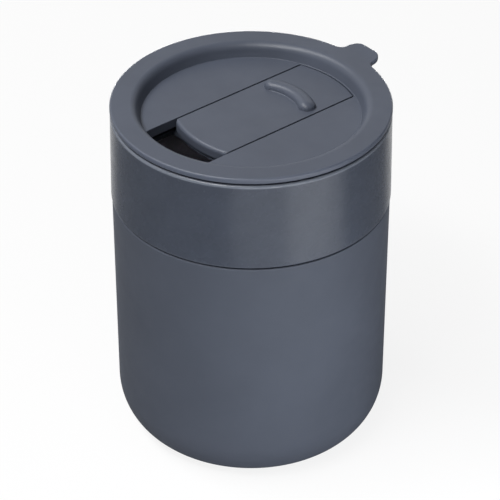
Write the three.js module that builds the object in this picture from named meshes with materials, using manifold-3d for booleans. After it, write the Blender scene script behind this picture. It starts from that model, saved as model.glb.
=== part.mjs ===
// Ceramic travel mug: a glazed cup standing in a silicone sleeve, closed by a press-in lid
// whose slider opens and shuts the drink hole. Millimetres, +Z up, origin at the centre of the base.
// The drink hole is on the -Y side and the lid's pull tab on the +Y side.

import * as THREE from 'three';
import { mergeVertices } from 'three/addons/utils/BufferGeometryUtils.js';
import Module from 'manifold-3d';

// Clearances
const FIT_GAP = 0.3; // between pieces that touch each other
const SLIDE_GAP = 0.6; // between the slider and its slot
const SEAM_GAP = 0.5; // shadow line between the glazed band and the sleeve
const LID_SEAT_GAP = 0.65; // shadow line between the lid's rim and the cup's lip

// Whole mug
const MUG_HEIGHT = 119.2; // table to the top of the lid's rim

// Silicone sleeve
const SLEEVE_RADIUS = 44.4;
const SLEEVE_WALL = 1.8;
const SLEEVE_FLOOR = 2.0;
const SLEEVE_EDGE = 0.5; // rounding of the upper edge
const CORNER_WIDTH = 12.0; // the bottom corner is a quarter of an ellipse
const CORNER_HEIGHT = 15.1;

// Ceramic cup
const BAND_HEIGHT = 29.75; // glazed band, from the lip to the seam
const BAND_OVERHANG = 0.3; // how far the band stands proud of the sleeve
const BAND_TAPER = 0.55; // the band narrows by this much towards the lip
const BAND_EDGE = 0.6; // rounding of the band's lower edge
const CUP_WALL = 4.1; // behind the sleeve
const CUP_FLOOR = 5.0;
const LIP_WALL = 4.75; // behind the band
const LIP_ROUND = 0.8; // rounding of the lip, inside and outside
const SHOULDER_HEIGHT = 14.0; // inside, where the mouth draws in to the body
const FOOT_RING_WIDTH = 5.0;
const FOOT_RING_DEPTH = 1.2;

// Lid cover
const RIM_OVERHANG = 0.05; // the rim reaches this far past the band's top
const RIM_THICKNESS = 1.95;
const RIM_EDGE = 0.6; // rounding of the rim's outer edge
const ROLL_WIDTH = 2.5; // rounded shoulder from the rim into the recess
const ROLL_DEPTH = 2.0;
const RECESS_DEPTH = 4.6;
const RECESS_DRAFT = 0.9; // lean of the recess wall
const PLATE_THICKNESS = 3.2; // recess floor
const COVER_WALL = 2.4; // from the recess floor's edge to the cover's outside

// Pull tab on the rim
const TAB_REACH = 5.8;
const TAB_HALF_WIDTH = 6.5;
const TAB_THICKNESS = 1.7;
const TAB_CORNER = 4.0;
const TAB_BLEND = 2.5; // hollow blend into the rim
const TAB_LIFT = 0.7; // the tip is turned up this much
const TAB_ROOT = 2.5; // the tab starts this far inside the rim's edge

// Lid base
const SKIRT_CLEARANCE = 0.8; // skirt to the cup's mouth
const SKIRT_WALL = 1.3; // round the cover
const SKIRT_TAIL = 2.6; // skirt below the gasket
const SKIRT_LEAD = 0.8; // chamfer that starts the lid into the cup
const BASE_FLOOR = 1.8;
const BASE_WALL = 1.4; // behind the gasket's groove
const GROOVE_DROP = 1.1; // from the cover's seat to the groove
const GROOVE_HEIGHT = 3.2;
const GROOVE_DEPTH = 1.6;

// Lid gasket
const GASKET_LIP = 0.8; // how far each wiping lip stands out

// Slider
const SLOT_HALF_WIDTH = 13.05;
const SLOT_MARGIN = 0.3; // from the slot's round ends to the recess wall
const TRAVEL = 11.0;
const FRONT_CORNER = 1.5; // rounding of the front corners, seen from above
const FRONT_ROUND = 1.2; // rounding of the front upper edge
const WING_OVERLAP = 3.5; // wings that run under the cover on both sides
const WING_THICKNESS = 1.6;
const WING_SETBACK = 0.6; // the wings end short of the slider's ends

// Drink hole in the lid's base, which the wings cover when the slider is shut
const DRINK_SIDE_COVER = 1.45; // from the wings' sides to the hole
const DRINK_FRONT_COVER = 0.4; // from the wings' front to the hole
const DRINK_BACK_REACH = 3.5; // the hole goes back this far under the open slider

// Thumb ridge on the slider
const RIDGE_CENTRE_Y = 0.5; // centre of the ridge's arc
const RIDGE_RADIUS = 17.5;
const RIDGE_HALF_ANGLE = THREE.MathUtils.degToRad(28);
const RIDGE_HALF_WIDTH = 2.7;
const RIDGE_HEIGHT = 2.3;
const RIDGE_LEAN = 0.9; // the crest leans this far towards the drink hole

// Fineness
const ROUND_STEPS = 60; // flats round a turned piece
const ARC_STEPS = 2; // half the flats in a rounded edge of a turned piece
const PLAN_STEPS = 5; // half the flats in an arc of an outline seen from above
const DOME_STEPS = 5; // levels in a rounded upper edge
const CROWN_ANGLE = THREE.MathUtils.degToRad(76); // where a dome goes over to its flat crown
const MERGE_DISTANCE = 1e-4;

// Radii that follow from the sizes above
const CORNER_CENTRE_RADIUS = SLEEVE_RADIUS - CORNER_WIDTH;
const BAND_LOWER_RADIUS = SLEEVE_RADIUS + BAND_OVERHANG;
const BAND_UPPER_RADIUS = BAND_LOWER_RADIUS - BAND_TAPER;
const MOUTH_RADIUS = BAND_UPPER_RADIUS - LIP_WALL;
const RIM_RADIUS = BAND_UPPER_RADIUS + RIM_OVERHANG;
const SKIRT_RADIUS = MOUTH_RADIUS - SKIRT_CLEARANCE;
const COVER_RADIUS = SKIRT_RADIUS - SKIRT_WALL - FIT_GAP;
const RECESS_RADIUS = COVER_RADIUS - COVER_WALL;
const SLOT_END_RADIUS = RECESS_RADIUS - SLOT_MARGIN;
const SLIDER_END_RADIUS = SLOT_END_RADIUS - SLIDE_GAP;
const WING_END_RADIUS = SLIDER_END_RADIUS - WING_SETBACK;
const WING_HALF_WIDTH = SLOT_HALF_WIDTH + WING_OVERLAP;
const GROOVE_RADIUS = SKIRT_RADIUS - GROOVE_DEPTH;
const BASE_INNER_RADIUS = GROOVE_RADIUS - BASE_WALL;

// Heights above the table
const LIP_Z = MUG_HEIGHT - RIM_THICKNESS - LID_SEAT_GAP;
const BAND_Z = LIP_Z - BAND_HEIGHT;
const SLEEVE_TOP_Z = BAND_Z - SEAM_GAP;
const CUP_BOTTOM_Z = SLEEVE_FLOOR + FIT_GAP;

// Heights in the lid, measured from the top of its rim
const FLOOR_Z = -RECESS_DEPTH;
const PLATE_Z = FLOOR_Z - PLATE_THICKNESS;
const SEAT_Z = PLATE_Z - FIT_GAP;
const WING_Z = SEAT_Z - WING_THICKNESS;
const BASE_FLOOR_Z = WING_Z - FIT_GAP;
const BASE_UNDER_Z = BASE_FLOOR_Z - BASE_FLOOR;
const SKIRT_TOP_Z = -RIM_THICKNESS - FIT_GAP;
const GROOVE_TOP_Z = SEAT_Z - GROOVE_DROP;
const GROOVE_LOW_Z = GROOVE_TOP_Z - GROOVE_HEIGHT;
const SKIRT_LOW_Z = GROOVE_LOW_Z - SKIRT_TAIL;

const QUARTER = Math.PI / 2;
const wasm = await Module();
wasm.setup();

// A closed triangle mesh as a solid that can be joined and cut.
function solid(geometry) {
  geometry.deleteAttribute('normal');
  geometry.deleteAttribute('uv');
  const merged = mergeVertices(geometry, MERGE_DISTANCE);
  const corners = merged.index.array;
  const kept = [];
  for (let i = 0; i < corners.length; i += 3) {
    const [a, b, c] = corners.slice(i, i + 3);
    if (a !== b && b !== c && c !== a) kept.push(a, b, c);
  }
  const vertProperties = new Float32Array(merged.attributes.position.array);
  return new wasm.Manifold(new wasm.Mesh({ numProp: 3, vertProperties, triVerts: Uint32Array.from(kept) }));
}

function geometryOf(manifold) {
  const mesh = manifold.getMesh();
  const geometry = new THREE.BufferGeometry();
  geometry.setAttribute('position', new THREE.BufferAttribute(mesh.vertProperties, 3));
  geometry.setIndex(new THREE.BufferAttribute(mesh.triVerts, 1));
  geometry.computeVertexNormals();
  return geometry;
}

// A turned piece: the profile holds radius and height, counter-clockwise.
function turned(profile) {
  return new THREE.LatheGeometry(profile.getPoints(ARC_STEPS), ROUND_STEPS).rotateX(QUARTER);
}

// An outline seen from above, carried straight up from one height to another.
function upright(plan, fromZ, toZ) {
  const options = { depth: toZ - fromZ, bevelEnabled: false, curveSegments: PLAN_STEPS };
  return new THREE.ExtrudeGeometry(plan, options).translate(0, 0, fromZ);
}

// A stack of like outlines, lowest first, joined by walls and closed by a flat face at each end.
function stacked(levels) {
  const rings = levels.map(({ plan, z }) => {
    const points = plan.getPoints(PLAN_STEPS);
    const apart = points.filter((point, i) => point.distanceTo(points.at(i - 1)) > MERGE_DISTANCE);
    return apart.map((point) => new THREE.Vector3(point.x, point.y, z));
  });
  const count = rings[0].length;
  const faces = [];
  for (let level = 1; level < rings.length; level += 1) {
    const [low, high] = [rings[level - 1], rings[level]];
    for (let i = 0; i < count; i += 1) {
      const next = (i + 1) % count;
      faces.push(low[i], low[next], high[next], low[i], high[next], high[i]);
    }
  }
  const top = rings.at(-1);
  for (const [a, b, c] of THREE.ShapeUtils.triangulateShape(top, [])) {
    faces.push(top[a], top[b], top[c]);
    faces.push(rings[0][c], rings[0][b], rings[0][a]);
  }
  return new THREE.BufferGeometry().setFromPoints(faces);
}

function piece(name, geometry, color, roughness) {
  const mesh = new THREE.Mesh(geometry, new THREE.MeshStandardMaterial({ color, roughness, metalness: 0 }));
  mesh.name = name;
  return mesh;
}

// Soft boot with a flat base and a rounded bottom corner.
function sleeveGeometry() {
  const innerRadius = SLEEVE_RADIUS - SLEEVE_WALL;
  const innerWidth = CORNER_WIDTH - SLEEVE_WALL;
  const innerHeight = CORNER_HEIGHT - SLEEVE_FLOOR;
  const edgeZ = SLEEVE_TOP_Z - SLEEVE_EDGE;
  const profile = new THREE.Path();
  profile.moveTo(0, 0);
  profile.lineTo(CORNER_CENTRE_RADIUS, 0);
  for (const from of [-QUARTER, -QUARTER / 2]) {
    const to = from + QUARTER / 2;
    profile.absellipse(CORNER_CENTRE_RADIUS, CORNER_HEIGHT, CORNER_WIDTH, CORNER_HEIGHT, from, to);
  }
  profile.absarc(SLEEVE_RADIUS - SLEEVE_EDGE, edgeZ, SLEEVE_EDGE, 0, QUARTER);
  profile.lineTo(innerRadius, SLEEVE_TOP_Z);
  profile.absellipse(CORNER_CENTRE_RADIUS, CORNER_HEIGHT, innerWidth, innerHeight, 0, -QUARTER, true);
  profile.lineTo(0, SLEEVE_FLOOR);
  return turned(profile);
}

// Hollow cup: foot ring, body that fits the sleeve, glazed band and rounded lip.
function cupGeometry() {
  const outerWidth = CORNER_WIDTH - SLEEVE_WALL - FIT_GAP;
  const outerHeight = CORNER_HEIGHT - CUP_BOTTOM_Z;
  const innerWidth = outerWidth - CUP_WALL;
  const innerHeight = outerHeight - CUP_FLOOR;
  const bodyRadius = CORNER_CENTRE_RADIUS + outerWidth;
  const innerRadius = CORNER_CENTRE_RADIUS + innerWidth;
  const footRadius = CORNER_CENTRE_RADIUS - FOOT_RING_WIDTH;
  const recessZ = CUP_BOTTOM_Z + FOOT_RING_DEPTH;
  const shoulderZ = BAND_Z - SHOULDER_HEIGHT;
  const midZ = (BAND_Z + shoulderZ) / 2;
  const lipZ = LIP_Z - LIP_ROUND;
  const profile = new THREE.Path();
  profile.moveTo(0, recessZ);
  profile.lineTo(footRadius, recessZ);
  profile.lineTo(footRadius, CUP_BOTTOM_Z);
  profile.lineTo(CORNER_CENTRE_RADIUS, CUP_BOTTOM_Z);
  profile.absellipse(CORNER_CENTRE_RADIUS, CORNER_HEIGHT, outerWidth, outerHeight, -QUARTER, 0);
  profile.lineTo(bodyRadius, BAND_Z);
  profile.absarc(BAND_LOWER_RADIUS - BAND_EDGE, BAND_Z + BAND_EDGE, BAND_EDGE, -QUARTER, 0);
  profile.absarc(BAND_UPPER_RADIUS - LIP_ROUND, lipZ, LIP_ROUND, 0, QUARTER);
  profile.absarc(MOUTH_RADIUS + LIP_ROUND, lipZ, LIP_ROUND, QUARTER, Math.PI);
  profile.lineTo(MOUTH_RADIUS, BAND_Z);
  profile.bezierCurveTo(MOUTH_RADIUS, midZ, innerRadius, midZ, innerRadius, shoulderZ);
  profile.absellipse(CORNER_CENTRE_RADIUS, CORNER_HEIGHT, innerWidth, innerHeight, 0, -QUARTER, true);
  profile.lineTo(0, CORNER_HEIGHT - innerHeight);
  return turned(profile);
}

// Strip with round ends, seen from above. The back end is an arc about the lid's axis, and the
// front end the same arc set back by a distance, with rounded corners.
function stripPlan(halfWidth, endRadius, setback, corner) {
  const backY = Math.sqrt(endRadius ** 2 - halfWidth ** 2);
  const backAngle = Math.atan2(backY, halfWidth);
  const cornerX = halfWidth - corner;
  const cornerDrop = Math.sqrt((endRadius - corner) ** 2 - cornerX ** 2);
  const cornerY = setback - cornerDrop;
  const cornerAngle = Math.atan2(cornerDrop, cornerX);
  const leftAngle = Math.PI + cornerAngle;
  const rightAngle = 2 * Math.PI - cornerAngle;
  const plan = new THREE.Shape();
  plan.absarc(0, 0, endRadius, backAngle, Math.PI - backAngle);
  plan.absarc(-cornerX, cornerY, corner, Math.PI, leftAngle);
  plan.absarc(0, setback, endRadius, leftAngle, rightAngle);
  plan.absarc(cornerX, cornerY, corner, rightAngle, 2 * Math.PI);
  plan.closePath();
  return plan;
}

// Tab outline, tangent to the rim through a hollow blend on each side.
function tabPlan() {
  const tipY = RIM_RADIUS + TAB_REACH;
  const cornerX = TAB_HALF_WIDTH - TAB_CORNER;
  const cornerY = tipY - TAB_CORNER;
  const blendX = TAB_HALF_WIDTH + TAB_BLEND;
  const blendY = Math.sqrt((RIM_RADIUS + TAB_BLEND) ** 2 - blendX ** 2);
  const blendAngle = Math.atan2(blendY, blendX);
  const rootY = RIM_RADIUS - TAB_ROOT;
  const plan = new THREE.Shape();
  plan.moveTo(0, rootY);
  plan.absarc(blendX, blendY, TAB_BLEND, Math.PI + blendAngle, Math.PI, true);
  plan.absarc(cornerX, cornerY, TAB_CORNER, 0, QUARTER);
  plan.absarc(-cornerX, cornerY, TAB_CORNER, QUARTER, Math.PI);
  plan.absarc(-blendX, blendY, TAB_BLEND, 0, -blendAngle, true);
  plan.closePath();
  return plan;
}

// Pull tab: the outline cut from a sheet that starts level with the rim and bends up to the tip.
function tabSolid() {
  const bendRadius = (TAB_REACH ** 2 + TAB_LIFT ** 2) / (2 * TAB_LIFT);
  const bendAngle = Math.asin((TAB_REACH + TAB_THICKNESS) / bendRadius);
  const sheetWidth = 4 * (TAB_HALF_WIDTH + TAB_BLEND);
  const side = new THREE.Shape();
  side.moveTo(0, 0);
  side.lineTo(0, -TAB_THICKNESS);
  side.absarc(RIM_RADIUS, bendRadius, bendRadius + TAB_THICKNESS, -QUARTER, bendAngle - QUARTER);
  side.absarc(RIM_RADIUS, bendRadius, bendRadius, bendAngle - QUARTER, -QUARTER, true);
  side.closePath();
  const options = { depth: sheetWidth, bevelEnabled: false, curveSegments: PLAN_STEPS };
  const sheet = new THREE.ExtrudeGeometry(side, options);
  sheet.translate(0, 0, -sheetWidth / 2).rotateX(QUARTER).rotateZ(QUARTER);
  const outline = upright(tabPlan(), -2 * TAB_THICKNESS, TAB_LIFT + TAB_THICKNESS);
  return solid(outline).intersect(solid(sheet));
}

// Upper moulding: flat rim with the pull tab, and a recess whose floor is slotted for the slider.
function coverGeometry() {
  const wallTopRadius = RECESS_RADIUS + RECESS_DRAFT;
  const rollRadius = wallTopRadius + ROLL_WIDTH;
  const edgeRadius = RIM_RADIUS - RIM_EDGE;
  const profile = new THREE.Path();
  profile.moveTo(0, PLATE_Z);
  profile.lineTo(COVER_RADIUS, PLATE_Z);
  profile.lineTo(COVER_RADIUS, -RIM_THICKNESS);
  profile.absarc(edgeRadius, RIM_EDGE - RIM_THICKNESS, RIM_EDGE, -QUARTER, 0);
  profile.absarc(edgeRadius, -RIM_EDGE, RIM_EDGE, 0, QUARTER);
  profile.absellipse(rollRadius, -ROLL_DEPTH, ROLL_WIDTH, ROLL_DEPTH, QUARTER, Math.PI);
  profile.lineTo(RECESS_RADIUS, FLOOR_Z);
  profile.lineTo(0, FLOOR_Z);
  const slotPlan = stripPlan(SLOT_HALF_WIDTH, SLOT_END_RADIUS, 0, FRONT_CORNER + SLIDE_GAP);
  const slot = upright(slotPlan, PLATE_Z - FIT_GAP, FLOOR_Z + FIT_GAP);
  return geometryOf(solid(turned(profile)).add(tabSolid()).subtract(solid(slot)));
}

// Drink hole seen from above: a round front, and a straight back that the open slider hides.
function drinkHolePlan() {
  const halfWidth = WING_HALF_WIDTH - DRINK_SIDE_COVER;
  const frontRadius = WING_END_RADIUS - DRINK_FRONT_COVER;
  const backY = TRAVEL - SLIDER_END_RADIUS + DRINK_BACK_REACH;
  const frontAngle = Math.acos(halfWidth / frontRadius);
  const plan = new THREE.Shape();
  plan.moveTo(halfWidth, backY);
  plan.lineTo(-halfWidth, backY);
  plan.absarc(0, 0, frontRadius, Math.PI + frontAngle, 2 * Math.PI - frontAngle);
  plan.closePath();
  return plan;
}

// Lower moulding: skirt with the gasket's groove, a seat for the cover and a floor with the drink hole.
function baseGeometry() {
  const seatRadius = SKIRT_RADIUS - SKIRT_WALL;
  const profile = new THREE.Path();
  profile.moveTo(0, BASE_UNDER_Z);
  profile.lineTo(BASE_INNER_RADIUS, BASE_UNDER_Z);
  profile.lineTo(BASE_INNER_RADIUS, SKIRT_LOW_Z);
  profile.lineTo(SKIRT_RADIUS - SKIRT_LEAD, SKIRT_LOW_Z);
  profile.lineTo(SKIRT_RADIUS, SKIRT_LOW_Z + SKIRT_LEAD);
  profile.lineTo(SKIRT_RADIUS, GROOVE_LOW_Z);
  profile.lineTo(GROOVE_RADIUS, GROOVE_LOW_Z);
  profile.lineTo(GROOVE_RADIUS, GROOVE_TOP_Z);
  profile.lineTo(SKIRT_RADIUS, GROOVE_TOP_Z);
  profile.lineTo(SKIRT_RADIUS, SKIRT_TOP_Z);
  profile.lineTo(seatRadius, SKIRT_TOP_Z);
  profile.lineTo(seatRadius, SEAT_Z);
  profile.lineTo(BASE_INNER_RADIUS, SEAT_Z);
  profile.lineTo(BASE_INNER_RADIUS, BASE_FLOOR_Z);
  profile.lineTo(0, BASE_FLOOR_Z);
  const hole = upright(drinkHolePlan(), BASE_UNDER_Z - FIT_GAP, BASE_FLOOR_Z + FIT_GAP);
  return geometryOf(solid(turned(profile)).subtract(solid(hole)));
}

// Silicone ring with two lips that wipe the cup's mouth.
function gasketGeometry() {
  const innerRadius = GROOVE_RADIUS + FIT_GAP;
  const lipRadius = MOUTH_RADIUS - FIT_GAP;
  const valleyRadius = lipRadius - GASKET_LIP;
  const lowZ = GROOVE_LOW_Z + FIT_GAP;
  const topZ = GROOVE_TOP_Z - FIT_GAP;
  const lipSpacing = (topZ - lowZ) / 4;
  const profile = new THREE.Path();
  profile.moveTo(innerRadius, lowZ);
  profile.lineTo(valleyRadius, lowZ);
  profile.lineTo(lipRadius, lowZ + lipSpacing);
  profile.lineTo(valleyRadius, lowZ + 2 * lipSpacing);
  profile.lineTo(lipRadius, lowZ + 3 * lipSpacing);
  profile.lineTo(valleyRadius, topZ);
  profile.lineTo(innerRadius, topZ);
  profile.lineTo(innerRadius, lowZ);
  return turned(profile);
}

// Bowed strip with round ends, seen from above.
function ridgePlan(halfWidth, radius) {
  const from = QUARTER - RIDGE_HALF_ANGLE;
  const to = QUARTER + RIDGE_HALF_ANGLE;
  const endX = radius * Math.cos(from);
  const endY = RIDGE_CENTRE_Y + radius * Math.sin(from);
  const plan = new THREE.Shape();
  plan.absarc(0, RIDGE_CENTRE_Y, radius + halfWidth, from, to);
  plan.absarc(-endX, endY, halfWidth, to, to + Math.PI);
  plan.absarc(0, RIDGE_CENTRE_Y, radius - halfWidth, to, from, true);
  plan.absarc(endX, endY, halfWidth, from + Math.PI, from + 2 * Math.PI);
  return plan;
}

// Ridge for the thumb: half an ellipse in section that leans forwards, with rounded ends.
function ridgeSolid() {
  const levels = [{ plan: ridgePlan(RIDGE_HALF_WIDTH, RIDGE_RADIUS), z: FLOOR_Z - FIT_GAP }];
  for (let step = 0; step <= DOME_STEPS; step += 1) {
    const angle = (CROWN_ANGLE * step) / DOME_STEPS;
    const z = FLOOR_Z + (RIDGE_HEIGHT * Math.sin(angle)) / Math.sin(CROWN_ANGLE);
    const radius = RIDGE_RADIUS - RIDGE_LEAN * (1 - Math.cos(angle));
    levels.push({ plan: ridgePlan(RIDGE_HALF_WIDTH * Math.cos(angle), radius), z });
  }
  return solid(stacked(levels));
}

// Slider: a block flush with the recess floor, on a wider plate that runs under the cover.
function sliderGeometry() {
  const blockHalfWidth = SLOT_HALF_WIDTH - SLIDE_GAP;
  const levels = [];
  levels.push({ plan: stripPlan(blockHalfWidth, SLIDER_END_RADIUS, TRAVEL, FRONT_CORNER), z: WING_Z });
  for (let step = 0; step <= DOME_STEPS; step += 1) {
    const angle = (QUARTER * step) / DOME_STEPS;
    const setback = TRAVEL + FRONT_ROUND * (1 - Math.cos(angle));
    const z = FLOOR_Z - FRONT_ROUND * (1 - Math.sin(angle));
    levels.push({ plan: stripPlan(blockHalfWidth, SLIDER_END_RADIUS, setback, FRONT_CORNER), z });
  }
  const wingPlan = stripPlan(WING_HALF_WIDTH, WING_END_RADIUS, TRAVEL, FRONT_CORNER);
  const wings = upright(wingPlan, WING_Z, SEAT_Z);
  return geometryOf(solid(stacked(levels)).add(solid(wings)).add(ridgeSolid()));
}

const lid = new THREE.Group();
lid.position.z = MUG_HEIGHT;
lid.add(piece('lid_cover', coverGeometry(), 0x626773, 0.6));
lid.add(piece('lid_base', baseGeometry(), 0x5c616d, 0.6));
lid.add(piece('lid_gasket', gasketGeometry(), 0x6b707b, 0.75));
lid.add(piece('slider', sliderGeometry(), 0x656a76, 0.6));

const mug = new THREE.Group();
mug.add(piece('ceramic_cup', cupGeometry(), 0x565c68, 0.15));
mug.add(piece('silicone_sleeve', sleeveGeometry(), 0x5a606c, 0.8));
mug.add(lid);

export default mug;
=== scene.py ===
# %% [markdown]
# # A ceramic travel mug
# The mug has six pieces: a glazed cup, the silicone sleeve that it stands in, and a press-in lid made of a
# cover, a base, a sealing ring and a slider that opens the drink mouth. The CAD frame holds every piece in
# place, with its joints. This lesson gives each piece a smooth skin and a finish, and a studio to stand in.
# Sections are drawn in millimetres, and the meshes are in the frame's own metres: +Z is up, the drink mouth
# is at -Y and the pull tab at +Y.

# %% Load the frame
import math

import bmesh
import bpy
import numpy as np
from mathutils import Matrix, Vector


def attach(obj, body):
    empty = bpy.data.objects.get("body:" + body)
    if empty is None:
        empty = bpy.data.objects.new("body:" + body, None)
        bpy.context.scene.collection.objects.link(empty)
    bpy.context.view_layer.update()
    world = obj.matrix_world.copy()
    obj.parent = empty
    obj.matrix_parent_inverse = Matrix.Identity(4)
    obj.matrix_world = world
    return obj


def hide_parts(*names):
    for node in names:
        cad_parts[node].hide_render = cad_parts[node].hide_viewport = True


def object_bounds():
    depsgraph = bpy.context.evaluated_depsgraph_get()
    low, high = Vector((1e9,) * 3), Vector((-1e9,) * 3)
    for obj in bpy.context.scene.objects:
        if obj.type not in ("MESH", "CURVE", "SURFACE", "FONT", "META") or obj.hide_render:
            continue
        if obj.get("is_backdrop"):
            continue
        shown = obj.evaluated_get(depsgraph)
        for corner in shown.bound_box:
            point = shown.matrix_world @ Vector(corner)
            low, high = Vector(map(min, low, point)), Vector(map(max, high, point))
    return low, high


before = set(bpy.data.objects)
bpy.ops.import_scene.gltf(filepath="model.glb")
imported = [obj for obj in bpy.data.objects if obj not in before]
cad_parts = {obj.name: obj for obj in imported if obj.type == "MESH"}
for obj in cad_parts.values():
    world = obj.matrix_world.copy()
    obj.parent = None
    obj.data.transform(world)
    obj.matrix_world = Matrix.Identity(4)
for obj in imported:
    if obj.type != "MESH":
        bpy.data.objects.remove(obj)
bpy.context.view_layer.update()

print("nodes:", sorted(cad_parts))

# %% [markdown]
# ## Sections with rounded corners
# No edge on a moulded or fired piece is sharp, and it is the thin light on those soft edges that makes a
# render look real. Bevel modifiers could round a finished mesh, but they struggle where a slot meets a wall.
# So each piece starts as a section: a line drawn from corner to corner, where every corner says how far from
# it the rounding starts and ends. A conic arc fills it in, which is a circle or an ellipse as those two say.

# %% Round the corners of a section
SUPPORT = 0.25  # mm; a point this close to an arc keeps the flat beside it flat in the shading
SHORT_SIDE = 3 * SUPPORT  # mm; on a shorter side those points draw closer to its ends
ARC_LEAST, ARC_MOST = 6, 30  # points on an arc; it gets one more for each millimetre of its cuts
NO_LENGTH = 1e-9  # mm; keeps a side of no length from dividing by zero


def rounded_section(corners, cuts, worn=None, fill=None, closed=True):
    """Points of a section and how worn each is, from its corners.

    Corners have x, y, z on the last axis and are counted on the axis before it. An arc about corner c runs
    from a to b, which lie its two cuts away along the sides, and is the conic
    ((1-s)^2 a + 2 w s (1-s) c + s^2 b) / ((1-s)^2 + 2 w s (1-s) + s^2), with w the sine of half the angle
    at c. worn gives a corner's arc its wear, and fill puts that many more points on the side after a corner.
    """
    corners = np.asarray(corners, float)
    cuts = np.broadcast_to(np.asarray(cuts, float), corners.shape[:-1] + (2,))
    worn, fill = worn or {}, fill or {}
    unit = np.roll(corners, -1, axis=-2) - corners
    unit = unit / np.maximum(np.linalg.norm(unit, axis=-1, keepdims=True), NO_LENGTH)
    before = -np.roll(unit, 1, axis=-2)
    start = corners + cuts[..., :1] * before
    end = corners + cuts[..., 1:] * unit
    weight = np.sqrt((1 - np.sum(before * unit, axis=-1, keepdims=True)) / 2)
    count = corners.shape[-2]
    points, wear = [], []
    for k in range(count):
        a, c, b, w = (x[..., k, None, :] for x in (start, corners, end, weight))
        reach = cuts[..., k, :].sum(axis=-1).max()
        steps = int(min(ARC_LEAST + reach, ARC_MOST)) if reach else 1
        s = np.linspace(0, 1, steps)[:, None]
        pull = 2 * w * s * (1 - s)
        points.append(((1 - s) ** 2 * a + pull * c + s ** 2 * b) / ((1 - s) ** 2 + pull + s ** 2))
        wear.append(np.full(len(s), worn.get(k, 0.0)))
        if k == count - 1 and not closed:
            break
        side = np.roll(start, -1, axis=-2)[..., k, None, :] - b
        near = SUPPORT / np.maximum(np.linalg.norm(side, axis=-1, keepdims=True), SHORT_SIDE)
        inner = np.linspace(0, 1, fill.get(k, 0) + 2)[:, None]
        points.append(b + (near + inner * (1 - 2 * near)) * side)
        wear.append(np.zeros(len(inner)))
    return np.concatenate(points, axis=-2), np.concatenate(wear)


test, _ = rounded_section([(0, 0, 0), (10, 0, 0), (10, 0, 10), (0, 0, 10)], 2)
print("a rounded square has", len(test), "points and is", np.ptp(test[:, 0]), "mm wide")

# %% [markdown]
# ## From rings to a mesh
# A section carried round the mug leaves a stack of rings, one for each of its points. Four neighbours, two on
# a ring and two on the next, make a quad. Where a ring shrinks to a point on the axis its points are welded,
# so no pole stays open, and the sign of the volume tells whether the quads face outwards.

# %% Skin a stack of rings
MM = 0.001
WELD = 2e-7  # m


def skin(name, rings, wear, body, node, closed):
    """Makes a piece from rings (ring, point, xyz) in millimetres, each joined to the next by quads.

    The volume is a sixth of the sum of a . (b x c) + a . (c x d) over quads a b c d. Where it comes out below
    zero the quads are turned round. closed joins the last ring to the first.
    """
    count, around = rings.shape[:2]
    i, j = np.meshgrid(np.arange(count if closed else count - 1), np.arange(around), indexing="ij")
    up, on = (i + 1) % count, (j + 1) % around
    quads = [i * around + j, i * around + on, up * around + on, up * around + j]
    quads = np.stack(quads, axis=-1).reshape(-1, 4)
    points = rings.reshape(-1, 3) * MM
    a, b, c, d = (points[quads[:, k]] for k in range(4))
    volume = np.sum(a * np.cross(b, c) + a * np.cross(c, d)) / 6
    mesh = bpy.data.meshes.new(name)
    mesh.from_pydata(points, [], quads if volume > 0 else quads[:, ::-1])
    worn = mesh.attributes.new("wear", "FLOAT", "POINT")
    worn.data.foreach_set("value", np.repeat(wear, around).astype(np.float32))
    shell = bmesh.new()
    shell.from_mesh(mesh)
    bmesh.ops.remove_doubles(shell, verts=shell.verts, dist=WELD)
    bmesh.ops.dissolve_degenerate(shell, edges=shell.edges, dist=WELD)
    open_edges = sum(not edge.is_manifold for edge in shell.edges)
    shell.to_mesh(mesh)
    shell.free()
    mesh.shade_smooth()
    piece = bpy.data.objects.new(name, mesh)
    bpy.context.scene.collection.objects.link(piece)
    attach(piece, body)
    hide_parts(node)
    print(f"{name}: {len(mesh.polygons)} faces, {open_edges} open edges, {abs(volume) * 1e6:.1f} cm3")
    return piece


# %% Carry a section round the axis
TURN_STEPS = 192


def turned(table, closed=False):
    """Rings of a turned piece, from a row for each corner: radius, height, its two cuts and its wear.

    Each point of the rounded section goes round the axis as x = r cos t, y = r sin t.
    """
    table = np.array(table, float)
    corners = np.insert(table[:, :2], 1, 0, axis=1)
    points, wear = rounded_section(corners, table[:, 2:4], dict(enumerate(table[:, 4])), closed=closed)
    t = np.linspace(0, 2 * np.pi, TURN_STEPS, endpoint=False)
    radius, height = points[:, 0, None], points[:, 2, None]
    return np.stack([radius * np.cos(t), radius * np.sin(t), height + 0 * t], axis=-1), wear


print("a turned piece has", TURN_STEPS, "points on each ring")

# %% [markdown]
# ## The silicone sleeve
# A soft boot, 1.8 mm thick, stretched over the lower part of the cup. Outside it is a straight cylinder that
# turns under in a quarter of an ellipse. A cylinder with a bevel would give a round corner, but the
# photograph shows one that is taller than it is wide, so its two cuts differ.

# %% Turn the sleeve
SLEEVE_RADIUS = 44.4
SLEEVE_INSIDE = 42.6
SLEEVE_TOP = 86.35
SLEEVE_FLOOR = 2.0

# radius, height, the cuts before and after the corner, and wear
rings, wear = turned([
    (0, 0, 0, 0, 0),
    (SLEEVE_RADIUS, 0, 12, 15.1, 0),
    (SLEEVE_RADIUS, SLEEVE_TOP, 0.5, 0.5, 1.0),
    (SLEEVE_INSIDE, SLEEVE_TOP, 0.4, 0.4, 0),
    (SLEEVE_INSIDE, SLEEVE_FLOOR, 13.1, 10.2, 0),
    (0, SLEEVE_FLOOR, 0, 0, 0),
])
sleeve = skin("sleeve_skin", rings, wear, "mug", "silicone_sleeve", False)

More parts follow.
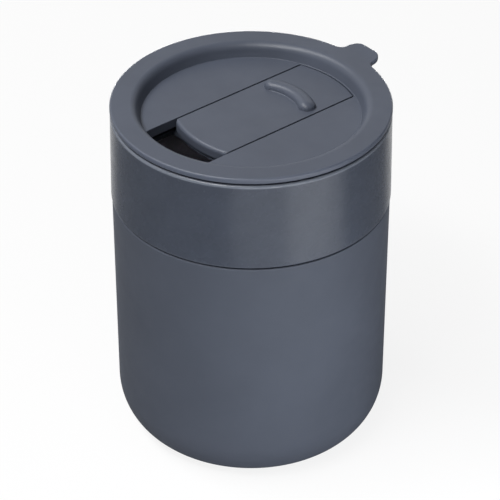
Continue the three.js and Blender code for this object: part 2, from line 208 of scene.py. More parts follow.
# %% [markdown]
# ## The glazed cup
# Slip-cast stoneware. The band that shows above the sleeve is a little wider than the sleeve and narrows
# towards a rounded lip. Below it the body steps in by the sleeve's thickness, and it stands on a foot ring.
# The wall inside follows the outside and draws in below the band, so the cup is hollow as the real one is.

# %% Turn the cup
LIP_TOP = 116.6
LIP_RADIUS = 44.15
BAND_BOTTOM = 86.85
BAND_RADIUS = 44.7
CUP_BOTTOM = 2.3
CUP_RADIUS = 42.3
CUP_INSIDE = 38.2
CUP_FLOOR = 7.3
FOOT_INSIDE = 27.4
FOOT_HOLLOW = 3.5
MOUTH_RADIUS = 39.4
MOUTH_LOW = 84.5
WALL_TOP = 76

# radius, height, the cuts before and after the corner, and wear
rings, wear = turned([
    (0, FOOT_HOLLOW, 0, 0, 0),
    (FOOT_INSIDE, FOOT_HOLLOW, 0.7, 0.5, 0),
    (FOOT_INSIDE, CUP_BOTTOM, 0.4, 0.5, 0),
    (CUP_RADIUS, CUP_BOTTOM, 9.9, 12.8, 0),
    (CUP_RADIUS, BAND_BOTTOM, 0.4, 0.4, 0),
    (BAND_RADIUS, BAND_BOTTOM, 0.6, 0.6, 0.2),
    # the lip's wear makes it paler, which also paints a highlight along it
    (LIP_RADIUS, LIP_TOP, 0.8, 0.8, 1.0),
    (MOUTH_RADIUS, LIP_TOP, 0.9, 1.2, 0.8),
    (MOUTH_RADIUS, MOUTH_LOW, 4, 4, 0),
    (CUP_INSIDE, WALL_TOP, 4, 4, 0),
    (CUP_INSIDE, CUP_FLOOR, 7.8, 5.8, 0),
    (0, CUP_FLOOR, 0, 0, 0),
])
cup = skin("cup_skin", rings, wear, "mug", "ceramic_cup", False)

# %% [markdown]
# ## The sealing ring
# A ring of silicone sits in a groove of the lid's base, with two soft lips that wipe the cup's mouth. It is
# a turned piece too, but its section is a closed loop that never reaches the axis.

# %% Turn the sealing ring
LID_TOP = 119.2
GROOVE_TOP = LID_TOP - 9.2
GROOVE_LOW = LID_TOP - 12.4
RING_INSIDE = 37.3
RING_VALLEY = 38.3
RING_LIP = 39.1
RING_GAP = 0.3

low = GROOVE_LOW + RING_GAP
step = (GROOVE_TOP - GROOVE_LOW - 2 * RING_GAP) / 4
# radius, height, the cuts before and after the corner, and wear
rings, wear = turned([
    (RING_INSIDE, low, 0.2, 0.2, 0),
    (RING_VALLEY, low, 0.2, 0.2, 0),
    (RING_LIP, low + step, 0.3, 0.3, 0.5),
    (RING_VALLEY, low + 2 * step, 0.3, 0.3, 0),
    (RING_LIP, low + 3 * step, 0.3, 0.3, 0.5),
    (RING_VALLEY, low + 4 * step, 0.2, 0.2, 0),
    (RING_INSIDE, low + 4 * step, 0.2, 0.2, 0),
], closed=True)
seal = skin("seal_skin", rings, wear, "seal", "lid_gasket", True)

# %% [markdown]
# ## The lid's cover: its outlines
# Seen from above the cover has two outlines. Inside is the slot that the slider runs in: two straight sides
# and two round ends. Outside is the round rim with its pull tab. A boolean could cut the slot out of a turned
# lid, but it leaves ragged edges. Here every section runs from the slot out to the rim and back underneath,
# and the two outlines give each section its start and its end.

# %% The slot's edge
SLOT_HALF_WIDTH = 13.05
SLOT_END = 34.3
FRONT_EASE = 46  # a larger power makes a tighter corner
BACK_EASE = 190
CORNER_ANGLE = math.acos(SLOT_HALF_WIDTH / SLOT_END)
FINE_ANGLES = 20001  # steps in the running sum


def slot_radius(angle):
    """Distance from the axis to the slot's edge: the nearer of its side and its round end.

    End and side / |cos| are joined as end (1 + (end |cos| / side)^p)^(-1/p), which rounds the corner.
    """
    ease = np.where(np.sin(angle) < 0, FRONT_EASE, BACK_EASE)
    ratio = SLOT_END * np.abs(np.cos(angle)) / SLOT_HALF_WIDTH
    return SLOT_END * (1 + ratio ** ease) ** (-1 / ease)


def crowded(start, stop, count, centres, width, gain):
    """count angles from start to stop, packed closer near the centres.

    The density is 1 plus gain times a bell round each centre. Its running sum, read backwards, is the angle.
    """
    fine = np.linspace(start, stop, FINE_ANGLES)
    density = 1 + gain * np.exp(-((fine[:, None] - centres) / width) ** 2).sum(axis=1)
    total = np.concatenate([[0], np.cumsum((density[1:] + density[:-1]) / 2)])
    return np.interp(np.linspace(0, total[-1], count, endpoint=False), total, fine)


print("the slot's corners are at", round(math.degrees(CORNER_ANGLE), 1), "degrees from +X")

# %% The rim and its pull tab
RIM_RADIUS = 44.2
TAB_HALF_WIDTH = 6.5
TAB_REACH = 5.8
TAB_CORNER = 4.0
TAB_BLEND = 2.5
TAB_POINTS = 120
TAB_ARC_STEPS = 200
RIM_POINTS = 400
CROWD_WIDTH = math.radians(1.2)
CROWD_GAIN = 7


def tab_outline():
    """The tab's edge and the angle each of its points has on the plain rim.

    Half of it is a hollow arc that leaves the rim, a corner arc and half of the tip, and the other half is
    its mirror image. The points are evenly spaced along the edge, and their angles evenly across the
    stretch of rim that they replace.
    """
    blend_x = TAB_HALF_WIDTH + TAB_BLEND
    blend_y = math.sqrt((RIM_RADIUS + TAB_BLEND) ** 2 - blend_x ** 2)
    leave = math.atan2(blend_y, blend_x)
    tip = RIM_RADIUS + TAB_REACH
    t = np.linspace(np.pi + leave, np.pi, TAB_ARC_STEPS)
    hollow = np.stack([blend_x + TAB_BLEND * np.cos(t), blend_y + TAB_BLEND * np.sin(t)], axis=1)
    t = np.linspace(0, np.pi / 2, TAB_ARC_STEPS)
    turn = np.stack([np.cos(t), np.sin(t)], axis=1) * TAB_CORNER
    turn = turn + (TAB_HALF_WIDTH - TAB_CORNER, tip - TAB_CORNER)
    half = np.concatenate([hollow, turn])
    edge = np.concatenate([half, half[::-1] * (-1, 1)])
    along = np.concatenate([[0], np.cumsum(np.linalg.norm(np.diff(edge, axis=0), axis=1))])
    share = np.linspace(0, 1, TAB_POINTS, endpoint=False)
    points = np.stack([np.interp(share * along[-1], along, edge[:, k]) for k in range(2)], axis=1)
    return points, leave + share * (np.pi - 2 * leave), leave


tab_edge, tab_angle, tab_leave = tab_outline()
corner_angles = np.pi * np.array([1, 1, 2, 2]) + CORNER_ANGLE * np.array([-1, 1, -1, 1])
rim_start, rim_stop = np.pi - tab_leave, 2 * np.pi + tab_leave
rim_angle = crowded(rim_start, rim_stop, RIM_POINTS, corner_angles, CROWD_WIDTH, CROWD_GAIN)
angle = np.concatenate([rim_angle, tab_angle])
toward = np.stack([np.cos(angle), np.sin(angle)], axis=1)
edge = np.concatenate([RIM_RADIUS * toward[: len(rim_angle)], tab_edge])
print("the rim has", len(edge), "points and the tab reaches", round(edge[:, 1].max(), 2), "mm from the axis")

# %% [markdown]
# ## The lid's cover: its sections
# Each section goes from the slot's lower edge out under the plate, up round the rim's edge, in over the rim,
# down the rounded shoulder into the recess, and across the floor back to the slot. Beside the rim's edge a
# ring is set in along the edge's own normal, so that the rounding is as wide on the tab's sides as on its
# tip. The tab is made flat and then bent up a little, as a sheet rolled round a cylinder.

# %% Cover sections
RIM_THICKNESS = 1.95
RIM_EDGE = 0.6
RIM_BORDER = 1.1  # the inset ring's distance from the rim's edge
FLOOR = LID_TOP - 4.6
PLATE = LID_TOP - 7.8
COVER_RADIUS = 37.0
RECESS_RADIUS = 34.6
SHOULDER_RADIUS = 36.19
SHOULDER_CUTS = (1.81, 2.12)
PLATE_EDGE = 0.25
FLOOR_EDGE = 0.1
LEDGE_SHARE = 0.4  # the most of a narrow ledge that each of its two roundings takes


def inset(outline, distance):
    """A closed outline moved inwards, by that far to the left of the line between each point's neighbours."""
    onward = np.roll(outline, -1, axis=0) - np.roll(outline, 1, axis=0)
    left = np.stack([-onward[:, 1], onward[:, 0]], axis=1) / np.linalg.norm(onward, axis=1, keepdims=True)
    return outline + np.reshape(distance, (-1, 1)) * left


def at(outline, height):
    """An outline seen from above, put at a height."""
    return np.column_stack([outline, np.full(len(outline), height)])


slot_r = slot_radius(angle)
slot_edge = slot_r[:, None] * toward
rim_inside = inset(edge, RIM_BORDER)
under = LID_TOP - RIM_THICKNESS
loops = [
    at(slot_edge, PLATE),
    at(COVER_RADIUS * toward, PLATE),
    at(COVER_RADIUS * toward, under),
    at(rim_inside, under),
    at(edge, under),
    at(edge, LID_TOP),
    at(rim_inside, LID_TOP),
    at(SHOULDER_RADIUS * toward, LID_TOP),
    at(RECESS_RADIUS * toward, FLOOR),
    at(slot_edge, FLOOR),
]
ledge = RECESS_RADIUS - slot_r
cuts = np.zeros((len(angle), len(loops), 2))
cuts[:, [0, 1, 2]] = PLATE_EDGE
cuts[:, [4, 5]] = RIM_EDGE
cuts[:, 7] = SHOULDER_CUTS
cuts[:, [8, 9]] = np.minimum(FLOOR_EDGE, LEDGE_SHARE * ledge)[:, None, None]
worn = {5: 1.0, 7: 0.4, 9: 0.7}  # the rim's edge, the shoulder and the slot's edge
fill = {2: 2, 3: 8, 6: 12}  # the rim's underside and its top, which the tab's bend curves
sections, wear = rounded_section(np.stack(loops, axis=1), cuts, worn, fill)
print("cover sections:", sections.shape)

# %% Bend the tab and skin the cover
TAB_LIFT = 0.7
TAB_THICKNESS = 1.7
TAB_TAPER = 2.0  # how far past the rim it is down to that thickness


def smooth(x):
    """0 below 0, 1 above 1, and 3x^2 - 2x^3 between."""
    x = np.clip(x, 0, 1)
    return x * x * (3 - 2 * x)


def bend_tab(points):
    """Thins the tab from the rim's thickness to its own and rolls it up.

    At a distance d past the rim it rises by R - sqrt(R^2 - d^2), the height of a circle of radius R.
    """
    past = np.maximum(points[..., 1] - RIM_RADIUS, 0)
    roll = (TAB_REACH ** 2 + TAB_LIFT ** 2) / (2 * TAB_LIFT)
    thin = 1 - (1 - TAB_THICKNESS / RIM_THICKNESS) * smooth(past / TAB_TAPER)
    points[..., 2] = LID_TOP + (points[..., 2] - LID_TOP) * thin + roll - np.sqrt(roll ** 2 - past ** 2)
    return points


rings = bend_tab(sections).transpose(1, 0, 2)
cover = skin("cover_skin", rings, wear, "lid", "lid_cover", True)

# %% [markdown]
# ## The lid's base
# The lower moulding closes the lid from below. Its skirt carries the seal's groove, the cover sits in its
# dish, and its floor has the drink hole. The hole is off centre, so the sections start on the hole's edge and
# run to the round wall along rays from the middle of the hole. From there on they are those of a turned
# piece.

# %% The drink hole's edge
HOLE_CENTRE = np.array([0.0, -25.5])
HOLE_HALF_WIDTH = 15.1
HOLE_FRONT = 32.7
HOLE_BACK = 6.3  # from the hole's centre to its straight edge
HOLE_EASE = 40
RAY_COUNT = 420


def ray_to_circle(direction, radius):
    """Distance from the hole's centre to a circle about the axis: -c.d + sqrt((c.d)^2 + R^2 - c.c)."""
    along = direction @ HOLE_CENTRE
    return -along + np.sqrt(along ** 2 + radius ** 2 - HOLE_CENTRE @ HOLE_CENTRE)


def hole_reach(direction):
    """Distance to the hole's edge: the nearest of its sides, its straight back and its round front, eased."""
    near = [np.abs(direction[:, 0]) / HOLE_HALF_WIDTH, np.maximum(direction[:, 1], 0) / HOLE_BACK]
    near.append(1 / ray_to_circle(direction, HOLE_FRONT))
    return sum(x ** HOLE_EASE for x in near) ** (-1 / HOLE_EASE)


ray_angle = np.linspace(0, 2 * np.pi, RAY_COUNT, endpoint=False)
ray = np.stack([np.cos(ray_angle), np.sin(ray_angle)], axis=1)
hole_edge = HOLE_CENTRE + hole_reach(ray)[:, None] * ray
print("the drink hole is", np.round(np.ptp(hole_edge, axis=0), 1), "mm across")

# %% Base sections
SKIRT = 38.6
SKIRT_LOW = LID_TOP - 15.0
SKIRT_TOP = LID_TOP - 2.25
SKIRT_CHAMFER = 0.8
SEAT = LID_TOP - 8.1
BASE_FLOOR = LID_TOP - 10.0
BASE_UNDER = LID_TOP - 11.8
BASE_INSIDE = 35.6
GROOVE_RADIUS = 37.0
DISH_RADIUS = 37.3
HOLE_ROUND = 0.3

out = HOLE_CENTRE + ray_to_circle(ray, BASE_INSIDE)[:, None] * ray
out = out / BASE_INSIDE
profile = [  # radius, height and both cuts
    (BASE_INSIDE, BASE_FLOOR, 0.4),
    (BASE_INSIDE, SEAT, 0.2),
    (DISH_RADIUS, SEAT, 0.2),
    (DISH_RADIUS, SKIRT_TOP, 0.25),
    (SKIRT, SKIRT_TOP, 0.35),
    (SKIRT, GROOVE_TOP, 0.2),
    (GROOVE_RADIUS, GROOVE_TOP, 0.2),
    (GROOVE_RADIUS, GROOVE_LOW, 0.2),
    (SKIRT, GROOVE_LOW, 0.2),
    (SKIRT, SKIRT_LOW + SKIRT_CHAMFER, 0.3),
    (SKIRT - SKIRT_CHAMFER, SKIRT_LOW, 0.3),
    (BASE_INSIDE, SKIRT_LOW, 0.4),
    (BASE_INSIDE, BASE_UNDER, 0.4),
]
loops = [at(hole_edge, BASE_FLOOR)] + [at(radius * out, height) for radius, height, _ in profile]
loops.append(at(hole_edge, BASE_UNDER))
cuts = np.array([HOLE_ROUND] + [cut for _, _, cut in profile] + [HOLE_ROUND])[:, None]
worn = {4: 0.4, 9: 0.4, 10: 0.4}  # the dish's top edge, the groove's lower edge and the chamfer
sections, wear = rounded_section(np.stack(loops, axis=1), cuts, worn, fill={0: 6})
base = skin("base_skin", sections.transpose(1, 0, 2), wear, "lid", "lid_base", True)

# %% [markdown]
# ## The slider
# A block flush with the recess floor, with a bowed ridge for the thumb and wings that run under the cover.
# Its rings start on the ridge's crown, a line where both sides meet, spread down its flanks and over the flat
# top to the block's edge, and go down and out round the wings to a line underneath. Each outline is made of
# the same four stretches, right, back, left and front, with as many points in each, so the rings match.

# %% Slider outlines
BLOCK_HALF_WIDTH = 12.45
BLOCK_END = 33.7
TRAVEL = 11.0
WING_HALF_WIDTH = 16.55
WING_END = 33.1
FRONT_CORNER = 1.5
BACK_CORNER = 0.5
SIDE_POINTS, CORNER_POINTS, END_POINTS, CAP_POINTS = 24, 18, 81, 33
CAP_LOW, CAP_HIGH = 12.0, 20.0


def strip_end(half_width, radius, corner, start):
    """Half of a strip's outline, from (half_width, start) round its end to the other side.

    It runs up the side, round a corner arc and along an arc about the origin. The rest mirrors the start.
    """
    corner_x = half_width - corner
    corner_y = math.sqrt((radius - corner) ** 2 - corner_x ** 2)
    meet = math.atan2(corner_y, corner_x)
    side_y = np.linspace(start, corner_y, SIDE_POINTS, endpoint=False)
    side = np.stack([np.full(SIDE_POINTS, half_width), side_y], axis=1)
    t = np.linspace(0, meet, CORNER_POINTS, endpoint=False)
    turn = np.stack([corner_x + corner * np.cos(t), corner_y + corner * np.sin(t)], axis=1)
    t = np.linspace(meet, np.pi - meet, END_POINTS)
    first = np.concatenate([side, turn])
    return np.concatenate([first, radius * np.stack([np.cos(t), np.sin(t)], axis=1), first[::-1] * (-1, 1)])


def strip_outline(half_width, radius):
    """A strip with round ends, anticlockwise: right cap, back end, left cap and front end.

    The front end is set back by the travel.
    """
    rise = np.linspace(CAP_LOW, CAP_HIGH, CAP_POINTS + 2)[1:-1]
    right = np.stack([np.full(CAP_POINTS, half_width), rise], axis=1)
    back = strip_end(half_width, radius, BACK_CORNER, CAP_HIGH)
    front = (0, TRAVEL) - strip_end(half_width, radius, FRONT_CORNER, TRAVEL - CAP_LOW)
    return np.concatenate([right, back, right[::-1] * (-1, 1), front])


block_edge = strip_outline(BLOCK_HALF_WIDTH, BLOCK_END)
wing_edge = strip_outline(WING_HALF_WIDTH, WING_END)
print("the slider's outlines have", len(block_edge), "points")

# %% The thumb ridge's line
RIDGE_CENTRE = np.array([0.0, 0.5])
RIDGE_RADIUS = 17.5
RIDGE_TURN = math.radians(28)
RIDGE_LEAN = 0.7
KEEL_HALF_LENGTH = 11  # of the line underneath that the rings end on
KEEL_Y = 5.0

half_points = 2 * SIDE_POINTS + 2 * CORNER_POINTS + END_POINTS
first, last = np.pi / 2 - RIDGE_TURN, np.pi / 2 + RIDGE_TURN
sweep = np.linspace(first, last, half_points)
cap_turn = np.linspace(0, np.pi, CAP_POINTS + 2)[1:-1]
spine_angle = np.concatenate([np.full(CAP_POINTS, first), sweep, np.full(CAP_POINTS, last), sweep[::-1]])
side_angle = np.concatenate([first + np.pi + cap_turn, sweep, last + cap_turn, sweep[::-1] + np.pi])
outward = np.stack([np.cos(spine_angle), np.sin(spine_angle)], axis=1)
spine = RIDGE_CENTRE + RIDGE_RADIUS * outward
crest = spine - RIDGE_LEAN * outward
sideways = np.stack([np.cos(side_angle), np.sin(side_angle)], axis=1)
keel_turn = np.interp(spine_angle, [first, last], [0, np.pi])
keel = np.stack([KEEL_HALF_LENGTH * np.cos(keel_turn), np.full(len(spine), KEEL_Y)], axis=1)
print("the ridge is", round(float(np.ptp(spine[:, 0])), 1), "mm long between its round ends")

# %% Slider sections
RIDGE_TOP = FLOOR + 2.3
WING_UNDER = LID_TOP - 9.7
RIDGE_HALF_WIDTH = 2.5
RIDGE_FOOT = 2.8  # half its width where it stands on the block
RIDGE_FLANK = 1.8  # how far down its flank the crown's rounding reaches
RIDGE_FILLET = 0.3
WING_ROUND = 0.25
FRONT_ROUND = 1.2
SIDE_ROUND = 0.1
TOP_SHARE, TOP_MARGIN = 1.1, 0.03  # the flat top ends this share of the rounding, and this far, from the edge

ramp = smooth(np.linspace(0, 1, CORNER_POINTS))
side_part = np.zeros(SIDE_POINTS)
front_part = np.concatenate([side_part, ramp, np.ones(END_POINTS), ramp[::-1], side_part])
front_part = np.concatenate([np.zeros(len(block_edge) - half_points), front_part])
rounding = SIDE_ROUND + (FRONT_ROUND - SIDE_ROUND) * front_part
block_inside = inset(block_edge, rounding * TOP_SHARE + TOP_MARGIN)
shoulder = spine + RIDGE_HALF_WIDTH * sideways
loops = [
    at(crest, RIDGE_TOP),
    at(shoulder, RIDGE_TOP),
    at(spine + RIDGE_FOOT * sideways, FLOOR),
    at(block_inside, FLOOR),
    at(block_edge, FLOOR),
    at(block_edge, SEAT),
    at(wing_edge, SEAT),
    at(wing_edge, WING_UNDER),
    at(keel, WING_UNDER),
]
cuts = np.zeros((len(spine), len(loops), 2))
cuts[:, 1, 0] = np.linalg.norm(shoulder - crest, axis=1)
cuts[:, 1, 1] = RIDGE_FLANK
cuts[:, 2] = RIDGE_FILLET
cuts[:, 4] = rounding[:, None]
cuts[:, [6, 7]] = WING_ROUND
worn = {1: 0.8, 4: 0.8}  # the ridge's crown and the block's edge
sections, wear = rounded_section(np.stack(loops, axis=1), cuts, worn, fill={2: 4}, closed=False)
slider = skin("slider_skin", sections.transpose(1, 0, 2), wear, "slider", "slider", False)

# %% [markdown]
# ## Finishes: shared tools
# Every finish is one principled shader. What differs over a surface, its tone, its roughness and its fine
# relief, comes from noise on Object coordinates, in metres, so a grain of 0.25 mm is a scale of 4000. The
# wear that each section carried along is read back as an attribute. What is the same all over is set on the
# shader's own sockets.

# %% Node helpers
NOISE_LOW, NOISE_HIGH = 0.3, 0.7  # most of a noise lies between these


def adder(nodes):
    """A function that adds a node of some kind to these nodes and sets its values."""

    def add(kind, **values):
        node = nodes.new(kind)
        for key, value in values.items():
            setattr(node, key, value)
        return node

    return add


def new_finish(name):
    """A material with a principled shader, a function that adds nodes to it, its links and the shader."""
    material = bpy.data.materials.new(name)
    material.use_nodes = True
    nodes = material.node_tree.nodes
    shader = next(n for n in nodes if n.type == "BSDF_PRINCIPLED")
    return material, adder(nodes), material.node_tree.links, shader


def grain(add, links, scale, detail, low=0, high=1):
    """Noise on Object coordinates of that scale, as a number that mostly runs from low to high."""
    noise = add("ShaderNodeTexNoise")
    noise.inputs["Scale"].default_value = scale
    noise.inputs["Detail"].default_value = detail
    links.new(add("ShaderNodeTexCoord").outputs["Object"], noise.inputs["Vector"])
    span = add("ShaderNodeMapRange")
    span.inputs["From Min"].default_value = NOISE_LOW
    span.inputs["From Max"].default_value = NOISE_HIGH
    span.inputs["To Min"].default_value = low
    span.inputs["To Max"].default_value = high
    links.new(noise.outputs["Fac"], span.inputs["Value"])
    return span.outputs["Result"]


def times(tone, factor):
    """A tone made darker or lighter by a factor."""
    return tuple(factor * part for part in tone)


def blend(add, links, amount, dark, light):
    """A colour between dark and light, each a colour or a socket."""
    mix = add("ShaderNodeMix", data_type="RGBA")
    links.new(amount, mix.inputs[0])
    for socket, colour in ((mix.inputs[6], dark), (mix.inputs[7], light)):
        if isinstance(colour, tuple):
            socket.default_value = (*colour, 1)
        else:
            links.new(colour, socket)
    return mix.outputs[2]


def sums(add, links, first, second, operation="ADD", third=None):
    """Two or three sockets or numbers put through one math node."""
    node = add("ShaderNodeMath", operation=operation)
    for socket, value in zip(node.inputs, (first, second, third)):
        if isinstance(value, (int, float)):
            socket.default_value = value
        elif value is not None:
            links.new(value, socket)
    return node.outputs[0]


def relief(add, links, shader, height, distance):
    """Bump on the shader: height 1 stands out by distance, in metres."""
    bump = add("ShaderNodeBump")
    bump.inputs["Strength"].default_value = 1.0
    bump.inputs["Distance"].default_value = distance
    links.new(height, bump.inputs["Height"])
    links.new(bump.outputs["Normal"], shader.inputs["Normal"])


def wear_of(add):
    """The wear that the section's corners carried."""
    return add("ShaderNodeAttribute", attribute_name="wear").outputs["Fac"]


print("finishes read Object coordinates and the wear attribute")

# %% [markdown]
# ## Slate plastic for the lid
# The cover, the base and the slider are moulded in the same slate plastic from a lightly blasted mould. That
# leaves a fine even grain, about a quarter of a millimetre, and a dull sheen. Hands polish the edges they
# touch, so worn edges are a little lighter and smoother. The base is given a darker tone than the cover, as a
# painted shade for where it shows, down in the drink mouth under the cover.

# %% Moulded plastic
COVER_TONE = (0.085, 0.098, 0.131)
# the same plastic set darker: painted shade for the base, which shows down in the drink mouth
BASE_SHADED_TONE = (0.074, 0.086, 0.114)
SLIDER_TONE = (0.086, 0.099, 0.132)
PLASTIC_DARK, PLASTIC_LIGHT, POLISHED = 0.94, 1.05, 1.22  # times the tone
PLASTIC_SMOOTH, PLASTIC_ROUGH = 0.38, 0.46
POLISH_SHARE, POLISH_GLOSS = 0.5, -0.12
BROAD_SCALE, GLOSS_SCALE, BLAST_SCALE = 60, 220, 4000  # per metre
BLAST_DEPTH = 6e-6  # m
PLASTIC_IOR = 1.46


def moulded_plastic(name, tone):
    """Slate plastic: tone varied by broad noise, lighter where worn, with a fine blasted grain."""
    material, add, links, shader = new_finish(name)
    broad = grain(add, links, BROAD_SCALE, detail=3)
    colour = blend(add, links, broad, times(tone, PLASTIC_DARK), times(tone, PLASTIC_LIGHT))
    polish = sums(add, links, wear_of(add), POLISH_SHARE, "MULTIPLY")
    links.new(blend(add, links, polish, colour, times(tone, POLISHED)), shader.inputs["Base Color"])
    rough = grain(add, links, GLOSS_SCALE, 2, PLASTIC_SMOOTH, PLASTIC_ROUGH)
    links.new(sums(add, links, polish, POLISH_GLOSS, "MULTIPLY_ADD", rough), shader.inputs["Roughness"])
    relief(add, links, shader, grain(add, links, BLAST_SCALE, detail=2), BLAST_DEPTH)
    shader.inputs["IOR"].default_value = PLASTIC_IOR
    return material


cover.data.materials.append(moulded_plastic("lid_moulding", COVER_TONE))
base.data.materials.append(moulded_plastic("base_moulding", BASE_SHADED_TONE))
slider.data.materials.append(moulded_plastic("slider_moulding", SLIDER_TONE))
print("lid finishes:", [piece.data.materials[0].name for piece in (cover, base, slider)])

# %% [markdown]
# ## Silicone for the sleeve and the seal
# Silicone rubber is matte with a soft bloom towards the edges, which a little sheen gives. Its surface has a
# satin grain, and it holds a trace of dust that shows as faint paler clouds.

# %% Silicone
SLEEVE_TONE, SLEEVE_ROUGH = (0.071, 0.081, 0.105), 0.62
SEAL_TONE, SEAL_ROUGH = (0.140, 0.155, 0.190), 0.52
ROUGH_SPREAD = 0.05
CLEAN, DUSTY, HANDLED = 0.95, 1.05, 1.3  # times the tone
HANDLED_SHARE = 0.4
CLOUD_SCALE, DULL_SCALE, SATIN_SCALE = 45, 160, 2600  # per metre
SATIN_DEPTH = 8e-6  # m
SILICONE_IOR, SILICONE_SPECULAR = 1.41, 0.35
SHEEN, SHEEN_ROUGH = 0.03, 0.5


def silicone(name, tone, rough):
    """Slate silicone: clouds of faint dust over an even tone, a satin grain and a low sheen."""
    material, add, links, shader = new_finish(name)
    clouds = grain(add, links, CLOUD_SCALE, detail=4)
    colour = blend(add, links, clouds, times(tone, CLEAN), times(tone, DUSTY))
    handled = sums(add, links, wear_of(add), HANDLED_SHARE, "MULTIPLY")
    links.new(blend(add, links, handled, colour, times(tone, HANDLED)), shader.inputs["Base Color"])
    dull = grain(add, links, DULL_SCALE, 3, rough - ROUGH_SPREAD, rough + ROUGH_SPREAD)
    links.new(dull, shader.inputs["Roughness"])
    relief(add, links, shader, grain(add, links, SATIN_SCALE, detail=2), SATIN_DEPTH)
    shader.inputs["IOR"].default_value = SILICONE_IOR
    shader.inputs["Specular IOR Level"].default_value = SILICONE_SPECULAR
    shader.inputs["Sheen Weight"].default_value = SHEEN
    shader.inputs["Sheen Roughness"].default_value = SHEEN_ROUGH
    return material


sleeve.data.materials.append(silicone("sleeve_silicone", SLEEVE_TONE, SLEEVE_ROUGH))
seal.data.materials.append(silicone("seal_silicone", SEAL_TONE, SEAL_ROUGH))
print("silicone finishes:", [piece.data.materials[0].name for piece in (sleeve, seal)])

# %% [markdown]
# ## Glaze on the cup
# A glaze is a thin coat of glass over the clay. It levels itself almost flat, with a slow waviness that bends
# reflections, runs thin on the lip and on the band's lower edge, where it breaks paler, and is wiped off the
# foot ring, where the bare clay shows. That paler colour is set lighter than thin glaze alone would be, so on
# the lip it is partly a painted highlight. Inside the mouth it gives way to a white liner: in the photograph
# the dark behind the drink mouth isn't quite black, so the cup's inside throws back some of the light that
# gets in.

# %% Glaze
GLAZE_TONE = (0.051, 0.060, 0.081)
# paler where the glaze runs thin, set lighter still so that the lip shows a painted highlight
THIN_GLAZE_AND_HIGHLIGHT = (0.20, 0.22, 0.26)
LINER_WHITE = (0.88, 0.87, 0.92)
BARE_CLAY = (0.52, 0.45, 0.36)
MOTTLE_DARK, MOTTLE_LIGHT = 0.93, 1.06  # times the tone
THIN_AND_HIGHLIGHT_SHARE, THIN_GLOSS = 0.7, -0.19
LINER_START, LINER_FULL = MM * (MOUTH_RADIUS + 0.6), MM * (MOUTH_RADIUS - 0.4)
BARE_BELOW, BARE_DULLER = 0.0026, 0.55
GLAZE_SMOOTH, GLAZE_ROUGH = 0.24, 0.3
MOTTLE_SCALE, SHINE_SCALE, WAVE_SCALE = 130, 300, 220  # per metre
WAVE_DEPTH = 1.2e-5  # m
GLAZE_IOR, GLAZE_SPECULAR = 1.5, 0.4


def slate_glaze(name, tone):
    """Glossy slate: mottled, paler where worn and as a painted lip highlight, white inside, bare clay on the
    foot ring.
    """
    material, add, links, shader = new_finish(name)
    mottle = grain(add, links, MOTTLE_SCALE, detail=5)
    colour = blend(add, links, mottle, times(tone, MOTTLE_DARK), times(tone, MOTTLE_LIGHT))
    # worn corners take the paler colour; on the lip it is partly a painted highlight
    thin = sums(add, links, wear_of(add), THIN_AND_HIGHLIGHT_SHARE, "MULTIPLY")
    colour = blend(add, links, thin, colour, THIN_GLAZE_AND_HIGHLIGHT)
    split = add("ShaderNodeSeparateXYZ")
    links.new(add("ShaderNodeTexCoord").outputs["Object"], split.inputs[0])
    level = add("ShaderNodeCombineXYZ")
    links.new(split.outputs["X"], level.inputs["X"])
    links.new(split.outputs["Y"], level.inputs["Y"])
    reach = add("ShaderNodeVectorMath", operation="LENGTH")
    links.new(level.outputs[0], reach.inputs[0])
    lined = add("ShaderNodeMapRange", interpolation_type="SMOOTHSTEP")
    lined.inputs["From Min"].default_value = LINER_START
    lined.inputs["From Max"].default_value = LINER_FULL
    links.new(reach.outputs["Value"], lined.inputs["Value"])
    colour = blend(add, links, lined.outputs["Result"], colour, LINER_WHITE)
    bare = sums(add, links, split.outputs["Z"], BARE_BELOW, "LESS_THAN")
    links.new(blend(add, links, bare, colour, BARE_CLAY), shader.inputs["Base Color"])
    rough = grain(add, links, SHINE_SCALE, 2, GLAZE_SMOOTH, GLAZE_ROUGH)
    rough = sums(add, links, wear_of(add), THIN_GLOSS, "MULTIPLY_ADD", rough)
    links.new(sums(add, links, bare, BARE_DULLER, "MULTIPLY_ADD", rough), shader.inputs["Roughness"])
    relief(add, links, shader, grain(add, links, WAVE_SCALE, detail=1), WAVE_DEPTH)
    shader.inputs["IOR"].default_value = GLAZE_IOR
    shader.inputs["Specular IOR Level"].default_value = GLAZE_SPECULAR
    return material


cup.data.materials.append(slate_glaze("cup_glaze", GLAZE_TONE))
print("glaze:", cup.data.materials[0].name)

# %% [markdown]
# ## The camera
# The photograph looks down at the mug at 35 degrees through a long lens, from a place between the drink mouth
# and the mug's +X side. Where it looks, from how far and at which two angles give its place. The lens and a
# very small shift give its frame.

# %% Camera
AIM = Vector((0, 0, 0.06236))
DISTANCE = 0.74438
AZIMUTH, ELEVATION = math.radians(50), math.radians(35.311)
LENS, SHIFT = 164.4, -0.0022
across = Vector((math.cos(AZIMUTH), math.sin(AZIMUTH), 0))
ahead = Vector((math.sin(AZIMUTH), -math.cos(AZIMUTH), 0))

eye = bpy.data.cameras.new("camera")
eye.lens = LENS
eye.shift_x = SHIFT
camera = bpy.data.objects.new("camera", eye)
bpy.context.scene.collection.objects.link(camera)
back = ahead * math.cos(ELEVATION) + Vector((0, 0, math.sin(ELEVATION)))
camera.location = AIM + DISTANCE * back
camera.rotation_euler = (-back).to_track_quat("-Z", "Y").to_euler()
bpy.context.scene.camera = camera
print("camera at", [round(v, 3) for v in camera.location])

